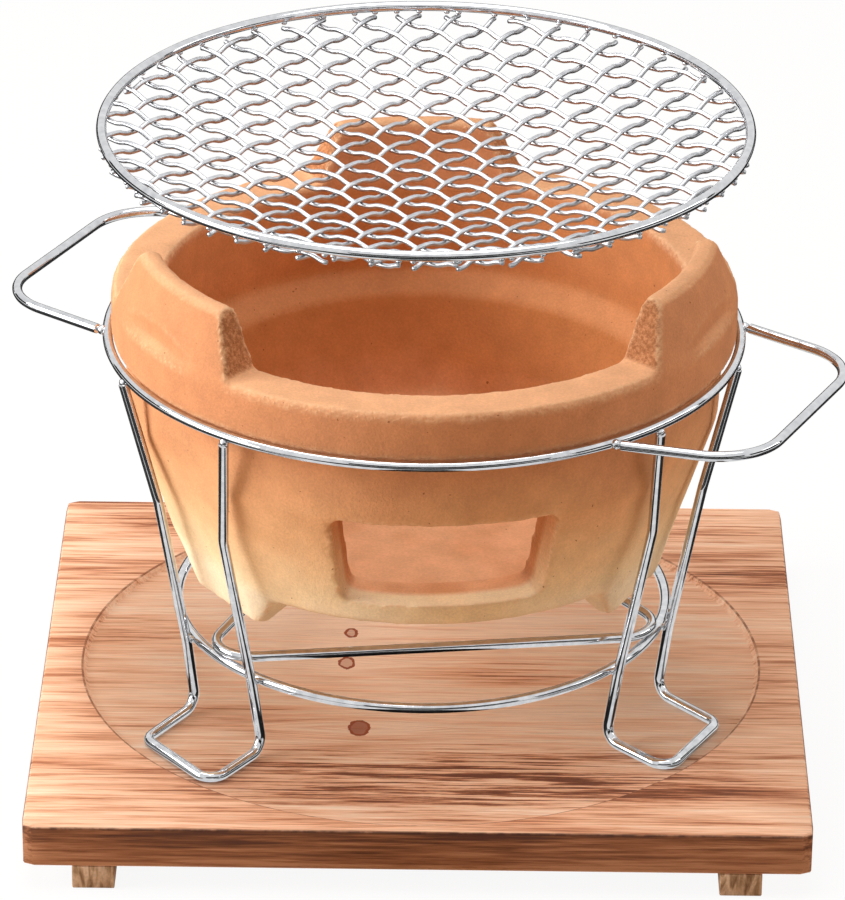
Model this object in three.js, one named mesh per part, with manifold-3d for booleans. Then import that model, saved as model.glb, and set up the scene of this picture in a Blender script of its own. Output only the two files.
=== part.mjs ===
// A clay table grill: a fired clay fire bowl in a bent wire stand with two carrying handles,
// a round crimped net that lifts off the bowl, and a recessed wooden board under the stand.
// The net is lifted clear of the bowl, as the grill is shown when it is being loaded.
//
// Millimetres, Z up. The origin is on the ground, under the middle of the board.
// X runs along the long side of the board and the draught opening of the bowl faces -Y.
// An azimuth is measured from the front (-Y), positive towards +X.

import * as THREE from "three";
import { ConvexGeometry } from "three/addons/geometries/ConvexGeometry.js";
import { mergeVertices } from "three/addons/utils/BufferGeometryUtils.js";
import Module from "manifold-3d";

const wasm = await Module();
wasm.setup();

// Shared clearances and counts
const fitGap = 0.3; // air between two pieces that bear on each other
const overrun = 3; // how far a cutter or a joined solid passes the face that it meets
const roundSteps = 60; // facets round a full circle
const wireSides = 8; // facets round a stand wire
const netWireSides = 5; // facets round a net wire
const bendSteps = 4; // facets along a bend
const setTurn = 4.8; // degrees that the stand, bowl and net are turned on the board

// Board and battens
const boardEndMargin = 12.2; // from the recess to an end of the board
const boardSideMargin = 3.7; // from the recess to a long side of the board
const boardThickness = 14;
const boardCornerRadius = 3;
const boardEdgeRound = 1;
const toeRoom = 6.8; // from the reach of the toes to the wall of the recess
const recessDepth = 2;
const recessWallRun = 1.6; // how far the recess wall slopes in on its way down
const battenWidth = 13;
const battenHeight = 7.5;
const battenInset = 15.3; // from the end of the board to the outer side of a batten

// Wire stand: heights are above the top of the board
const wireRadius = 1.6;
const topRingHeight = 117;
const collarRadius = 98; // widest radius of the bowl, which hangs in the top ring
const ringUnderCollar = 0.5; // how far the collar reaches over the inner side of the ring
const lowerRingRadius = 78;
const lowerRingHeight = 24;
const braceCornerReach = 78; // axis of the grill to the outermost point of a brace corner
const braceBendRadius = 11;
const braceTurn = 3; // degrees
const frontLegAzimuth = 57;
const rearLegAzimuth = 180;
const legTopSpread = 26.5; // half the spacing of a leg's two uprights at the top ring
const legTopOutset = 0.6; // how far the upright's end stands outside the ring's own circle
const kneeHeight = 76;
const kneeReach = 90; // axis of the grill to the middle of a leg, at the knee
const kneeSpread = 17.4;
const hipSpread = 17.4; // at the lower ring
const ankleReach = 76;
const ankleSpread = 18;
const toeReach = 102;
const toeSpread = 17.5;
const toeSkew = 9; // how far the toes of the front legs stand towards the front
const kneeBendRadius = 14;
const footBendRadius = 5;
const handleAzimuth = 59;
const handleReach = 131; // axis of the grill to the outer side of a handle
const handleRootSpread = 47.8; // half the spacing of a handle's two ends
const handleGripSpread = 39.5; // half the spacing of its two outer corners
const handleBendRadius = 21;

// Fire bowl: heights are above the top of the board
const footHeight = 42;
const undersideHeight = 53;
const undersideRadius = 79.9;
const undersideRound = 1.2;
const waistHeight = 94; // top of the leaning wall
const waistRadius = 92.9;
const neckRadius = 93.8; // just below the collar
const collarTopHeight = 130.5;
const rimHeight = 133.5;
const rimOuterRadius = 95.2;
const rimInnerRadius = 82;
const rimRound = 1.5;
const ledgeRadius = 84;
const ledgeHeight = 101;
const ledgeDrop = 5;
const throatRadius = 76.5; // inner edge of the ledge
const lipRound = 1.6;
const hearthHeight = 59; // top of the bowl's floor
const hearthRadius = 67;
const hearthRound = 4;
const lugAzimuths = [-64, 64, 178];
const footAzimuths = [-58.5, 58.5, 180]; // pads and the feet below them
const braceAzimuths = [-60, 60, 180];

const lugHeight = 152.5;
const lugBaseAngle = 21.5; // half the angle that a lug takes at the low rim
const lugTopAngle = 16.5;
const lugOuterRadius = 95.4;
const lugTopOuterRadius = 91;
const lugTopInnerRadius = 83.6;
const lugRound = 1.8;

const padTopHalfWidth = 22; // half of a flat on the wall, from crease to crease
const padLowHalfWidth = 15.5;
const footSideWidth = 1.8; // how far a foot stands past each crease, at its sole
const footSideSet = 1.5; // how far that part stands back from the flat
const footSoleDepth = 5.5;
const footFlare = 9; // how much wider again the foot is where it meets the underside
const footRootDepth = 16;

const ventTopHeight = 93;
const ventSillHeight = 61.5;
const ventTopHalfWidth = 35;
const ventSillHalfWidth = 33.5;
const ventDraft = 16; // degrees that the jambs close in towards the fire
const ventCornerRadius = 3.5;
const ventCornerSteps = 3;

// Lift-off net: heights are above the top of the board
const netRimHeight = 186;
const netRimRadius = 100;
const netRimWireRadius = 1.6;
const netWireRadius = 0.7;
const netPitchShare = 0.05128; // of the net's whole width, from one wire to the next
const netCrimp = 0.86; // how far a wire's middle line swings up and down
const netSag = 7.8; // how much lower the middle of the net hangs than its edge
const netTurn = 47; // degrees between the front and the first set of wires
const netShiftShares = [-0.035, 0.23]; // of a pitch, by which each set is off the middle
const netFlatShare = 1 / 3; // of a pitch past the last crossing, in which an end is level
const netEndReach = 0.5; // how far a wire's end passes the rim's own circle
const netShortestWire = 30;

// The board is as large as the recess for the stand's feet makes it.
const recessRadius = toeReach + toeRoom;
const boardLength = 2 * (recessRadius + boardEndMargin);
const boardDepth = 2 * (recessRadius + boardSideMargin);

const radians = (degrees) => THREE.MathUtils.degToRad(degrees);

// A point given by its distance along an azimuth, its offset to the side, and its height.
function placed(azimuth, reach, side, height) {
  const turn = radians(azimuth);
  const x = reach * Math.sin(turn) + side * Math.cos(turn);
  const y = side * Math.sin(turn) - reach * Math.cos(turn);
  return new THREE.Vector3(x, y, height);
}

// Half a chord's distance from the middle of its circle.
const chordReach = (radius, halfWidth) => Math.sqrt(radius ** 2 - halfWidth ** 2);

// A path that runs straight from each of its points to the next.
class PolylinePath extends THREE.Curve {
  constructor(points) {
    super();
    this.points = points;
  }

  getPoint(share, target = new THREE.Vector3()) {
    const runs = this.points.length - 1;
    const place = THREE.MathUtils.clamp(share, 0, 1) * runs;
    const run = Math.min(Math.floor(place), runs - 1);
    return target.lerpVectors(this.points[run], this.points[run + 1], place - run);
  }

  getPointAt(share, target) {
    return this.getPoint(share, target);
  }

  getTangentAt(share, target) {
    return this.getTangent(share, target);
  }
}

// Replaces each inner corner of a line by an arc of the given radius.
function bentLine(corners, bendRadii) {
  const points = [corners[0]];
  for (let i = 1; i < corners.length - 1; i += 1) {
    const corner = corners[i];
    const back = corners[i - 1].clone().sub(corner).normalize();
    const ahead = corners[i + 1].clone().sub(corner).normalize();
    const half = back.angleTo(ahead) / 2;
    const radius = bendRadii[i - 1];
    const inward = back.clone().add(ahead).normalize();
    const centre = corner.clone().addScaledVector(inward, radius / Math.sin(half));
    const start = corner.clone().addScaledVector(back, radius / Math.tan(half)).sub(centre);
    const axis = back.clone().cross(ahead).normalize();
    const sweep = 2 * half - Math.PI;
    for (let step = 0; step <= bendSteps; step += 1) {
      const spoke = start.clone().applyAxisAngle(axis, (sweep * step) / bendSteps);
      points.push(centre.clone().add(spoke));
    }
  }
  points.push(corners.at(-1));
  return points;
}

// A round wire along a line of points.
function wireAlong(points, radius, sides) {
  const section = [];
  for (let i = 0; i < sides; i += 1) {
    const turn = (2 * Math.PI * i) / sides;
    section.push(new THREE.Vector2(radius * Math.cos(turn), radius * Math.sin(turn)));
  }
  return new THREE.ExtrudeGeometry(new THREE.Shape(section), {
    steps: points.length - 1,
    extrudePath: new PolylinePath(points),
  });
}

// A closed ring of round wire, flat in the XY plane.
const wireRing = (radius, wire) => new THREE.TorusGeometry(radius, wire, wireSides, roundSteps);

// Turns a closed profile of [radius, height] pairs about the Z axis.
function revolved(profile) {
  const points = profile.map(([radius, height]) => new THREE.Vector2(radius, height));
  return new THREE.LatheGeometry(points, roundSteps).rotateX(Math.PI / 2);
}

function solidOf(geometry) {
  const bare = geometry.index ? geometry.toNonIndexed() : geometry.clone();
  bare.deleteAttribute("normal");
  bare.deleteAttribute("uv");
  const merged = mergeVertices(bare);
  return new wasm.Manifold(
    new wasm.Mesh({
      numProp: 3,
      vertProperties: merged.attributes.position.array,
      triVerts: new Uint32Array(merged.index.array),
    }),
  );
}

function geometryOf(solid) {
  const mesh = solid.getMesh();
  const geometry = new THREE.BufferGeometry();
  geometry.setAttribute("position", new THREE.BufferAttribute(mesh.vertProperties, 3));
  geometry.setIndex(new THREE.BufferAttribute(mesh.triVerts, 1));
  geometry.computeVertexNormals();
  return geometry;
}

const clay = (name) =>
  new THREE.MeshStandardMaterial({ name, color: 0xe39b6b, roughness: 0.95, metalness: 0 });
const steel = (name) =>
  new THREE.MeshStandardMaterial({ name, color: 0xc9c9cb, roughness: 0.12, metalness: 1 });
const scorchedWood = (name) =>
  new THREE.MeshStandardMaterial({ name, color: 0xc98a66, roughness: 0.75, metalness: 0 });
const paleWood = (name) =>
  new THREE.MeshStandardMaterial({ name, color: 0xcdb07c, roughness: 0.8, metalness: 0 });

function named(name, geometry, material) {
  const mesh = new THREE.Mesh(geometry, material(name));
  mesh.name = name;
  return mesh;
}

// The board: rounded edges and a shallow round recess that keeps the stand in place.
function boardGeometry() {
  const halfLength = boardLength / 2;
  const halfDepth = boardDepth / 2;
  const outline = new THREE.Shape();
  const corners = [
    [halfLength - boardCornerRadius, halfDepth - boardCornerRadius, 0],
    [boardCornerRadius - halfLength, halfDepth - boardCornerRadius, Math.PI / 2],
    [boardCornerRadius - halfLength, boardCornerRadius - halfDepth, Math.PI],
    [halfLength - boardCornerRadius, boardCornerRadius - halfDepth, (3 * Math.PI) / 2],
  ];
  for (const [x, y, start] of corners) {
    outline.absarc(x, y, boardCornerRadius, start, start + Math.PI / 2, false);
  }
  const slab = new THREE.ExtrudeGeometry(outline, {
    depth: boardThickness - 2 * boardEdgeRound,
    bevelEnabled: true,
    bevelSize: boardEdgeRound,
    bevelThickness: boardEdgeRound,
    bevelOffset: -boardEdgeRound,
    bevelSegments: 2,
    curveSegments: 2,
  });
  slab.translate(0, 0, boardEdgeRound);
  const floor = boardThickness - recessDepth;
  const slope = recessWallRun / recessDepth;
  const recess = revolved([
    [0, floor],
    [recessRadius - recessWallRun, floor],
    [recessRadius + overrun * slope, boardThickness + overrun],
    [0, boardThickness + overrun],
  ]);
  return geometryOf(solidOf(slab).subtract(solidOf(recess)));
}

function makeBase() {
  const base = new THREE.Group();
  const board = named("board", boardGeometry(), scorchedWood);
  board.position.z = battenHeight;
  base.add(board);
  const battenReach = boardLength / 2 - battenInset - battenWidth / 2;
  for (const [side, direction] of [["left", -1], ["right", 1]]) {
    const shape = new THREE.BoxGeometry(battenWidth, boardDepth, battenHeight);
    const batten = named("batten_" + side, shape, paleWood);
    batten.position.set(direction * battenReach, 0, battenHeight / 2);
    base.add(batten);
  }
  return base;
}

// Wire stand
const topRingRadius = collarRadius + wireRadius - ringUnderCollar;
const footWireHeight = wireRadius + fitGap - recessDepth;
const hipRadius = lowerRingRadius + 2 * wireRadius + fitGap;

// A leg is one hairpin: down one upright, round the foot, and up the other upright.
function legGeometry(azimuth, skew) {
  const topReach = chordReach(topRingRadius + legTopOutset, legTopSpread);
  const topHeight = topRingHeight - 2 * wireRadius + wireRadius / 2 - fitGap;
  const hipReach = chordReach(hipRadius, hipSpread);
  const upright = (side) => [
    [topReach, side * legTopSpread, topHeight],
    [kneeReach, side * kneeSpread, kneeHeight],
    [hipReach, side * hipSpread, lowerRingHeight],
    [ankleReach, side * ankleSpread, footWireHeight],
    [toeReach, side * toeSpread + skew, footWireHeight],
  ];
  const corners = [...upright(1), ...upright(-1).reverse()];
  const bends = [kneeBendRadius, kneeBendRadius, footBendRadius, footBendRadius];
  const line = bentLine(
    corners.map(([reach, side, height]) => placed(azimuth, reach, side, height)),
    [...bends, ...bends.toReversed()],
  );
  return wireAlong(line, wireRadius, wireSides);
}

// A handle is one wire that leaves the outside of the ring and comes back to it.
function handleGeometry(azimuth) {
  const rootRadius = topRingRadius + 2 * wireRadius;
  const side = [
    [chordReach(rootRadius, handleRootSpread), handleRootSpread, topRingHeight],
    [handleReach, handleGripSpread, topRingHeight],
  ];
  const mirrored = side.map(([reach, spread, height]) => [reach, -spread, height]).reverse();
  const corners = [...side, ...mirrored].map(([reach, spread, height]) =>
    placed(azimuth, reach, spread, height),
  );
  const line = bentLine(corners, [handleBendRadius, handleBendRadius]);
  return wireAlong(line, wireRadius, wireSides);
}

// The brace is one wire bent to a rounded triangle. Its ends face each other at the back left.
function braceGeometry() {
  const cornerOverBend = braceCornerReach - braceBendRadius;
  const sharpReach = cornerOverBend + 2 * braceBendRadius;
  const height = lowerRingHeight + 2 * wireRadius + fitGap;
  const sharp = braceAzimuths.map((azimuth) =>
    placed(azimuth + braceTurn, sharpReach, 0, height),
  );
  const [left, right, rear] = sharp;
  const seam = left.clone().add(rear).divideScalar(2);
  const along = rear.clone().sub(left).normalize();
  const start = seam.clone().addScaledVector(along, -fitGap / 2);
  const end = seam.clone().addScaledVector(along, fitGap / 2);
  const bends = [braceBendRadius, braceBendRadius, braceBendRadius];
  return wireAlong(bentLine([start, left, right, rear, end], bends), wireRadius, wireSides);
}

function makeStand() {
  const stand = new THREE.Group();
  const topRing = named("stand_top_ring", wireRing(topRingRadius, wireRadius), steel);
  topRing.position.z = topRingHeight;
  const lowerRing = named("stand_lower_ring", wireRing(lowerRingRadius, wireRadius), steel);
  lowerRing.position.z = lowerRingHeight;
  stand.add(topRing, lowerRing);
  stand.add(named("stand_brace", braceGeometry(), steel));
  stand.add(named("leg_front_left", legGeometry(-frontLegAzimuth, toeSkew), steel));
  stand.add(named("leg_front_right", legGeometry(frontLegAzimuth, -toeSkew), steel));
  stand.add(named("leg_rear", legGeometry(rearLegAzimuth, 0), steel));
  stand.add(named("handle_right", handleGeometry(handleAzimuth), steel));
  stand.add(named("handle_left", handleGeometry(handleAzimuth + 180), steel));
  return stand;
}

// Fire bowl. The cone under the collar bears on the inner upper side of the top ring.
function bowlBody() {
  const coneRise = topRingHeight - topRingRadius + Math.SQRT2 * (wireRadius + fitGap);
  const ledgeInnerHeight = ledgeHeight - ledgeDrop;
  const profile = [
    [0, undersideHeight],
    [undersideRadius - undersideRound, undersideHeight],
    [undersideRadius, undersideHeight + undersideRound],
    [waistRadius, waistHeight],
    [neckRadius, neckRadius + coneRise],
    [collarRadius, collarRadius + coneRise],
    [collarRadius, collarTopHeight],
    [(collarRadius + rimOuterRadius) / 2, (collarTopHeight + rimHeight + rimRound) / 2],
    [rimOuterRadius, rimHeight],
    [rimInnerRadius + rimRound, rimHeight],
    [rimInnerRadius, rimHeight - rimRound],
    [ledgeRadius, ledgeHeight],
    [throatRadius + lipRound, ledgeInnerHeight],
    [throatRadius, ledgeInnerHeight - lipRound],
    [hearthRadius, hearthHeight + hearthRound],
    [hearthRadius - hearthRound, hearthHeight],
    [0, hearthHeight],
  ];
  return solidOf(revolved(profile));
}

// The three lugs: a taller ring cut to the stretch between two leaning ends.
function lugWedge(azimuth) {
  const risePerDegree = (lugHeight - rimHeight) / (lugBaseAngle - lugTopAngle);
  const spare = overrun / risePerDegree;
  const levels = [
    [rimHeight - overrun, lugBaseAngle + spare],
    [lugHeight + overrun, lugTopAngle - spare],
  ];
  const points = [];
  for (const [height, halfAngle] of levels) {
    for (const radius of [rimInnerRadius - overrun, collarRadius + overrun]) {
      const reach = radius * Math.cos(radians(halfAngle));
      const side = radius * Math.sin(radians(halfAngle));
      points.push(placed(azimuth, reach, side, height), placed(azimuth, reach, -side, height));
    }
  }
  return solidOf(new ConvexGeometry(points));
}

function lugs() {
  const ring = solidOf(
    revolved([
      [rimInnerRadius + rimRound, rimHeight - overrun],
      [lugOuterRadius, rimHeight - overrun],
      [lugOuterRadius, rimHeight],
      [lugTopOuterRadius, lugHeight - lugRound],
      [lugTopOuterRadius - lugRound, lugHeight],
      [lugTopInnerRadius + lugRound, lugHeight],
      [lugTopInnerRadius, lugHeight - lugRound],
      [rimInnerRadius, rimHeight - rimRound],
      [rimInnerRadius + rimRound, rimHeight - overrun],
    ]),
  );
  return lugAzimuths.map((azimuth) => ring.intersect(lugWedge(azimuth)));
}

// The flat of a pad leans with the wall: its reach from the axis at a height.
function padReach(height) {
  const low = chordReach(undersideRadius, padLowHalfWidth);
  const high = chordReach(waistRadius, padTopHalfWidth);
  const share = (height - undersideHeight) / (waistHeight - undersideHeight);
  return THREE.MathUtils.lerp(low, high, share);
}

function padCutter(azimuth) {
  const points = [];
  for (const height of [footHeight, topRingHeight - wireRadius]) {
    for (const side of [-2 * padTopHalfWidth, 2 * padTopHalfWidth]) {
      points.push(placed(azimuth, padReach(height), side, height));
      points.push(placed(azimuth, padReach(height) + collarRadius, side, height));
    }
  }
  return solidOf(new ConvexGeometry(points));
}

function foot(azimuth) {
  const solePad = padReach(footHeight);
  const sideWidth = padLowHalfWidth + footSideWidth;
  const rootHeight = undersideHeight + overrun / 2;
  const rootPad = padReach(rootHeight);
  const rootWidth = sideWidth + footFlare;
  const quarter = [
    [solePad, padLowHalfWidth, footHeight],
    [solePad - footSideSet, sideWidth, footHeight],
    [solePad - footSoleDepth, sideWidth, footHeight],
    [rootPad, padLowHalfWidth, rootHeight],
    [chordReach(undersideRadius, rootWidth), rootWidth, rootHeight],
    [rootPad - footRootDepth, rootWidth, rootHeight],
  ];
  const points = quarter.flatMap(([reach, side, height]) => [
    placed(azimuth, reach, side, height),
    placed(azimuth, reach, -side, height),
  ]);
  return solidOf(new ConvexGeometry(points));
}

// The draught opening: an outline with two rounded lower corners, closing in towards the fire.
function ventOutline(y, inset) {
  const topHalf = ventTopHalfWidth - inset;
  const sillHalf = ventSillHalfWidth - inset;
  const points = [];
  for (const side of [-1, 1]) {
    points.push(new THREE.Vector3(side * topHalf, y, ventTopHeight));
    for (let step = 0; step <= ventCornerSteps; step += 1) {
      const turn = (Math.PI / 2) * (step / ventCornerSteps);
      const x = sillHalf - ventCornerRadius * (1 - Math.cos(turn));
      const z = ventSillHeight + ventCornerRadius * (1 - Math.sin(turn));
      points.push(new THREE.Vector3(side * x, y, z));
    }
  }
  return points;
}

function vent() {
  const outer = waistRadius + overrun;
  const inner = hearthRadius * Math.cos(Math.asin(ventSillHalfWidth / hearthRadius)) - overrun;
  const face = chordReach(waistRadius, ventTopHalfWidth);
  const perReach = Math.tan(radians(ventDraft));
  const outline = [
    ...ventOutline(-outer, (face - outer) * perReach),
    ...ventOutline(-inner, (face - inner) * perReach),
  ];
  return solidOf(new ConvexGeometry(outline));
}

function bowlGeometry() {
  let bowl = bowlBody();
  for (const azimuth of footAzimuths) {
    bowl = bowl.subtract(padCutter(azimuth)).add(foot(azimuth));
  }
  for (const lug of lugs()) {
    bowl = bowl.add(lug);
  }
  return geometryOf(bowl.subtract(vent()));
}

// Lift-off net: two sets of crimped wires that pass over and under each other, under a rim ring.
const netPlaneHeight = netRimHeight - netRimWireRadius - fitGap - netWireRadius - netCrimp;
const netEndRadius = netRimRadius + netEndReach;
const netPitch = 2 * netEndRadius * netPitchShare;
const netSets = [
  { name: "warp", turn: netTurn, shift: netShiftShares[0], across: -netShiftShares[1], over: 0 },
  { name: "weft", turn: netTurn + 90, shift: netShiftShares[1], across: netShiftShares[0], over: 1 },
];

// Which way the wave points at a whole number of pitches.
const crest = (count) => (Math.abs(count) % 2 === 0 ? 1 : -1);

// Height of the net's middle surface, a shallow dish.
const dishHeight = (radius) => netPlaneHeight - netSag * (1 - (radius / netEndRadius) ** 2);

// One wire of a set: it is straight from above, and rises and falls from crossing to crossing.
// An end just past a crossing keeps the height that the wire has there.
function netWireLine(set, index) {
  const offset = (index + set.shift) * netPitch;
  const reach = chordReach(netEndRadius, offset);
  const first = Math.ceil(-reach / netPitch - set.across);
  const last = Math.floor(reach / netPitch - set.across);
  const places = [-reach];
  for (let crossing = first; crossing <= last; crossing += 1) {
    const place = (crossing + set.across) * netPitch;
    if (reach - Math.abs(place) > netWireRadius / 2) {
      places.push(place);
    }
  }
  places.push(reach);
  return places.map((place) => {
    const count = place / netPitch - set.across;
    const crossing = THREE.MathUtils.clamp(Math.round(count), first, last);
    const low = Math.floor(count);
    const swing = THREE.MathUtils.lerp(crest(low), crest(low + 1), count - low);
    const wave = Math.abs(count - crossing) < netFlatShare ? crest(crossing) : swing;
    const side = crest(index + set.over);
    const height = dishHeight(Math.hypot(place, offset)) + side * wave * netCrimp;
    return placed(set.turn, place, offset, height);
  });
}

function makeNet() {
  const net = new THREE.Group();
  const rim = named("net_rim", wireRing(netRimRadius, netRimWireRadius), steel);
  rim.position.z = netRimHeight;
  net.add(rim);
  const most = Math.ceil(netEndRadius / netPitch);
  for (const set of netSets) {
    let count = 0;
    for (let index = -most; index <= most; index += 1) {
      const offset = (index + set.shift) * netPitch;
      if (Math.abs(offset) > chordReach(netEndRadius, netShortestWire / 2)) {
        continue;
      }
      count += 1;
      const name = "net_" + set.name + "_" + String(count).padStart(2, "0");
      net.add(named(name, wireAlong(netWireLine(set, index), netWireRadius, netWireSides), steel));
    }
  }
  return net;
}

const grillSet = new THREE.Group();
grillSet.position.z = battenHeight + boardThickness;
grillSet.rotation.z = radians(setTurn);
grillSet.add(makeStand(), named("clay_bowl", bowlGeometry(), clay), makeNet());

const clayGrill = new THREE.Group();
clayGrill.add(makeBase(), grillSet);

export default clayGrill;
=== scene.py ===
# %% [markdown]
# # A clay table grill, dressed for its picture
#
# The grill is a fired clay fire bowl that hangs in a wire stand, over a scorched wooden
# board, with a crimped wire net held above it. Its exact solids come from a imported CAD
# frame. This notebook builds the looks around them: round wires in place of faceted ones,
# clay with soft grainy edges, brushed wood, a camera and soft studio light.
#
# Everything is in metres, Z up, with the origin on the ground under the board's middle.

import math
import random
from functools import partial

import bmesh
import bpy
from mathutils import Matrix, Vector, noise


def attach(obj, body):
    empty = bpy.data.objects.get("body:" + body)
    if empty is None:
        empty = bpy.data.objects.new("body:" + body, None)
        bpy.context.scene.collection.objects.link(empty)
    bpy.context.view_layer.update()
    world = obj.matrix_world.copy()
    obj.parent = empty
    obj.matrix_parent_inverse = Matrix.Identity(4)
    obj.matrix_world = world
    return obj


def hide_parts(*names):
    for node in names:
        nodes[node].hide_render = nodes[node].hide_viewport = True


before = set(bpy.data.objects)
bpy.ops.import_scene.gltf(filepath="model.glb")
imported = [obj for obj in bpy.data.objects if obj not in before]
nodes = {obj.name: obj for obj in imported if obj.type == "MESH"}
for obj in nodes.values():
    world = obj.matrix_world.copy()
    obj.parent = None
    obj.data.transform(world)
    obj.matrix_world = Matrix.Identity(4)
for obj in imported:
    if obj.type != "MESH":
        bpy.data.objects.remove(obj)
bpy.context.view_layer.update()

# %% [markdown]
# ## Units, places and colours
#
# The real grill was measured in millimetres, so lengths are written in millimetres and
# turned to metres by one factor. The stand, bowl and net sit a little turned on the board:
# `on_board` moves a piece from the grill's own axis to where it stands.

# %% Units, places and colours
mm = 0.001
board_top = 21.5
set_turn = math.radians(4.8)
on_board = Matrix.Translation((0, 0, board_top * mm)) @ Matrix.Rotation(set_turn, 4, "Z")


def paint(code):
    """An sRGB hex colour as the linear colour that shaders take."""
    shares = [int(code[i : i + 2], 16) / 255 for i in (1, 3, 5)]
    linear = [s / 12.92 if s <= 0.04045 else ((s + 0.055) / 1.055) ** 2.4 for s in shares]
    return (*linear, 1.0)


def placed(azimuth, reach, side, height):
    """A point in mm, from the grill's axis: azimuth in degrees from the front, towards +X."""
    turn = math.radians(azimuth)
    x = reach * math.sin(turn) + side * math.cos(turn)
    y = side * math.sin(turn) - reach * math.cos(turn)
    return Vector((x, y, height))


print("board top:", board_top, "mm, set turned by", round(math.degrees(set_turn), 1), "degrees")

# %% [markdown]
# ## The camera
#
# The photo looks down on the front with the weak perspective of a long lens. A lens of
# about 232 mm on a 36 mm high sensor, 1.84 m away, gives the same. The small shift only
# frames the picture. The camera is set first, so that every piece can be judged in its view.

# %% Make the camera
camera_data = bpy.data.cameras.new("camera")
camera_data.sensor_fit = "VERTICAL"
camera_data.sensor_height = 36
camera_data.lens = 232.1
camera_data.shift_y = 0.0464
camera_data.clip_start = 0.1
camera_data.clip_end = 20
camera = bpy.data.objects.new("camera", camera_data)
bpy.context.scene.collection.objects.link(camera)
elevation, azimuth, roll = math.radians(26.2), math.radians(0.25), math.radians(0.577)
camera_reach = 1843.6
aim = Vector((0, 0, 81.5)) * mm
back = Vector(
    (
        math.sin(azimuth) * math.cos(elevation),
        -math.cos(azimuth) * math.cos(elevation),
        math.sin(elevation),
    )
)
turned = back.to_track_quat("Z", "Y").to_matrix().to_4x4() @ Matrix.Rotation(roll, 4, "Z")
camera.matrix_world = Matrix.Translation(aim + back * camera_reach * mm) @ turned
bpy.context.scene.camera = camera
print("camera at", [round(v, 3) for v in camera.matrix_world.translation])

# %% [markdown]
# ## Node helper
#
# A material is a small graph. One helper adds a node with its settings and its inputs, so
# each material below reads as a list of what it is made of. An input that is a socket is
# linked, a hex colour is painted, and a number is set as it is. A Map Range node takes its
# range in at sockets 1 and 2 and gives 3 to 4, and a Mix node blends colour 6 into 7.


# %% Node helper
def node(tree, kind, inputs=None, out=0, stops=(), **settings):
    """Adds a node with its settings and links, and returns one output or the node."""
    made = tree.nodes.new("ShaderNode" + kind)
    for name, value in settings.items():
        setattr(made, name, value)
    for i, (place, code) in enumerate(stops):
        bands = made.color_ramp.elements
        band = bands[i] if i < 2 else bands.new(place)
        band.position, band.color = place, paint(code)
    for socket, value in (inputs or {}).items():
        if isinstance(value, bpy.types.NodeSocket):
            tree.links.new(value, made.inputs[socket])
        else:
            made.inputs[socket].default_value = paint(value) if isinstance(value, str) else value
    return made if out is None or not made.outputs else made.outputs[out]


def blank_material(name):
    """A new material, its helper for adding nodes, and the places on the piece in mm."""
    material = bpy.data.materials.new(name)
    material.use_nodes = True
    material.node_tree.nodes.clear()
    add = partial(node, material.node_tree)
    place = add("TexCoord", out="Object")
    return material, add, add("VectorMath", {0: place, "Scale": 1 / mm}, operation="SCALE")

# %% [markdown]
# ## Chrome
#
# The stand and the net are steel wire, drawn, bent, spot welded and then chrome plated.
# Plating is a mirror, so nearly all of its look is what it reflects: the white room, the
# dark cards in it and the clay. The base is a cool light grey, and fine drawing marks
# keep the gloss from being perfect. The net's thin wire is the dullest, and the welds lie
# in between.


# %% Chrome
def plated_wire(name, rough_low, rough_high, dark="#c4c6c9", light="#dedfe1"):
    """Chrome on drawn wire, with its range of gloss and of tone."""
    material, add, place = blank_material(name)
    marks = add("TexNoise", {"Vector": place, "Scale": 0.35, "Detail": 4.0})
    rough = add("MapRange", {0: marks, 1: 0.35, 2: 0.7, 3: rough_low, 4: rough_high})
    tone = add("ValToRGB", {0: marks}, stops=[(0.3, dark), (0.7, light)])
    scratches = add("TexNoise", {"Vector": place, "Scale": 1.6, "Detail": 3.0})
    bump = add("Bump", {"Height": scratches, "Strength": 0.06, "Distance": 0.05 * mm})
    shader = add(
        "BsdfPrincipled",
        {"Base Color": tone, "Metallic": 1.0, "Roughness": rough, "Normal": bump},
    )
    add("OutputMaterial", {"Surface": shader})
    return material


chrome = plated_wire("chrome_plated_steel", 0.04, 0.10)
net_chrome = plated_wire("chrome_plated_net_wire", 0.32, 0.44, "#b2b4b7", "#cdced0")
weld_chrome = plated_wire("chrome_plated_weld", 0.16, 0.32)
print("chrome finishes:", chrome.name, net_chrome.name, weld_chrome.name)

# %% [markdown]
# ## Fired clay
#
# The bowl is unglazed fired clay, pressed in a mould and fired once. It is orange where
# the kiln was hottest, at the collar, and fades to cream at the foot. Inside, the wall is a
# deeper orange and the floor is paler. The skin is a fine sandy grit, the ends of the lugs
# and the sides of the draught opening were cut with a wire and stayed rough, and the sharp
# edges are rubbed to a lighter, crumbly band. The grit of about 0.5 mm is drawn a little
# coarser, at 0.8 mm, so that it shows.

# %% Clay: where a place is on the bowl
clay, add, place = blank_material("unglazed_fired_clay")
parts = add("SeparateXYZ", {0: place}, out=None)
flat = add("CombineXYZ", {"X": parts.outputs["X"], "Y": parts.outputs["Y"]})
radius = add("VectorMath", {0: flat}, out=1, operation="LENGTH")
normal = add("NewGeometry", out="Normal")
facing_up = add("SeparateXYZ", {0: normal}, out="Z")

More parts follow.
